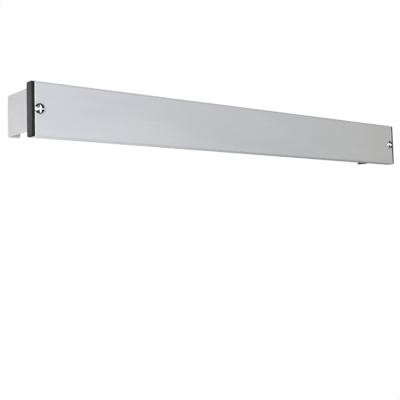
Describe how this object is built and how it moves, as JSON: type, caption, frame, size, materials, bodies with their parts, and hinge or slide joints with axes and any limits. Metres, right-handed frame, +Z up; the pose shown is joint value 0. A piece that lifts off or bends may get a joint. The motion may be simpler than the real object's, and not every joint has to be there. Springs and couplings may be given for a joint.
{
  "type": "wall coat hook rail",
  "caption": "Long silver wall coat rail with black end caps, bent grey stand-off brackets and black hooks that slide in a channel behind the panel.",
  "frame": {"origin": "on the wall plane, at mid length, level with the channel and the panel's screws", "axes": "X along the rail, +Y into the wall, +Z up; the panel's face looks along -Y"},
  "size_m": [1, 0.1162, 0.0973],
  "materials": {
    "panel_aluminium": "satin silver",
    "cap_plastic": "fine grained black",
    "bracket_paint": "light grey powder coat",
    "screw_chrome": "polished",
    "zinc_steel": "zinc plated",
    "hook_paint": "satin black"
  },
  "bodies": {
    "rail": {"front_panel": "panel_aluminium", "end_cap_left": "cap_plastic", "end_cap_right": "cap_plastic", "wall_bracket_left": "bracket_paint", "wall_bracket_right": "bracket_paint", "panel_screw_left": "screw_chrome", "panel_washer_left": "zinc_steel", "panel_nut_left": "zinc_steel", "panel_screw_right": "screw_chrome", "panel_washer_right": "zinc_steel", "panel_nut_right": "zinc_steel"},
    "hook_1": {"hook_1": "hook_paint", "hook_nut_1": "zinc_steel", "hook_screw_1": "zinc_steel"},
    "hook_2": {"hook_2": "hook_paint", "hook_nut_2": "zinc_steel", "hook_screw_2": "zinc_steel"},
    "hook_3": {"hook_3": "hook_paint", "hook_nut_3": "zinc_steel", "hook_screw_3": "zinc_steel"},
    "hook_4": {"hook_4": "hook_paint", "hook_nut_4": "zinc_steel", "hook_screw_4": "zinc_steel"},
    "hook_5": {"hook_5": "hook_paint", "hook_nut_5": "zinc_steel", "hook_screw_5": "zinc_steel"},
    "hook_6": {"hook_6": "hook_paint", "hook_nut_6": "zinc_steel", "hook_screw_6": "zinc_steel"},
    "hook_7": {"hook_7": "hook_paint", "hook_nut_7": "zinc_steel", "hook_screw_7": "zinc_steel"}
  },
  "joints": [
    {"name": "hook_1_slide", "type": "slide", "parent": "rail", "child": "hook_1", "axis": [1, 0, 0], "range_m": [-0.043, 0.062]},
    {"name": "hook_2_slide", "type": "slide", "parent": "rail", "child": "hook_2", "axis": [1, 0, 0], "range_m": [-0.062, 0.062]},
    {"name": "hook_3_slide", "type": "slide", "parent": "rail", "child": "hook_3", "axis": [1, 0, 0], "range_m": [-0.062, 0.062]},
    {"name": "hook_4_slide", "type": "slide", "parent": "rail", "child": "hook_4", "axis": [1, 0, 0], "range_m": [-0.062, 0.062]},
    {"name": "hook_5_slide", "type": "slide", "parent": "rail", "child": "hook_5", "axis": [1, 0, 0], "range_m": [-0.062, 0.062]},
    {"name": "hook_6_slide", "type": "slide", "parent": "rail", "child": "hook_6", "axis": [1, 0, 0], "range_m": [-0.062, 0.062]},
    {"name": "hook_7_slide", "type": "slide", "parent": "rail", "child": "hook_7", "axis": [1, 0, 0], "range_m": [-0.062, 0.043]}
  ]
}
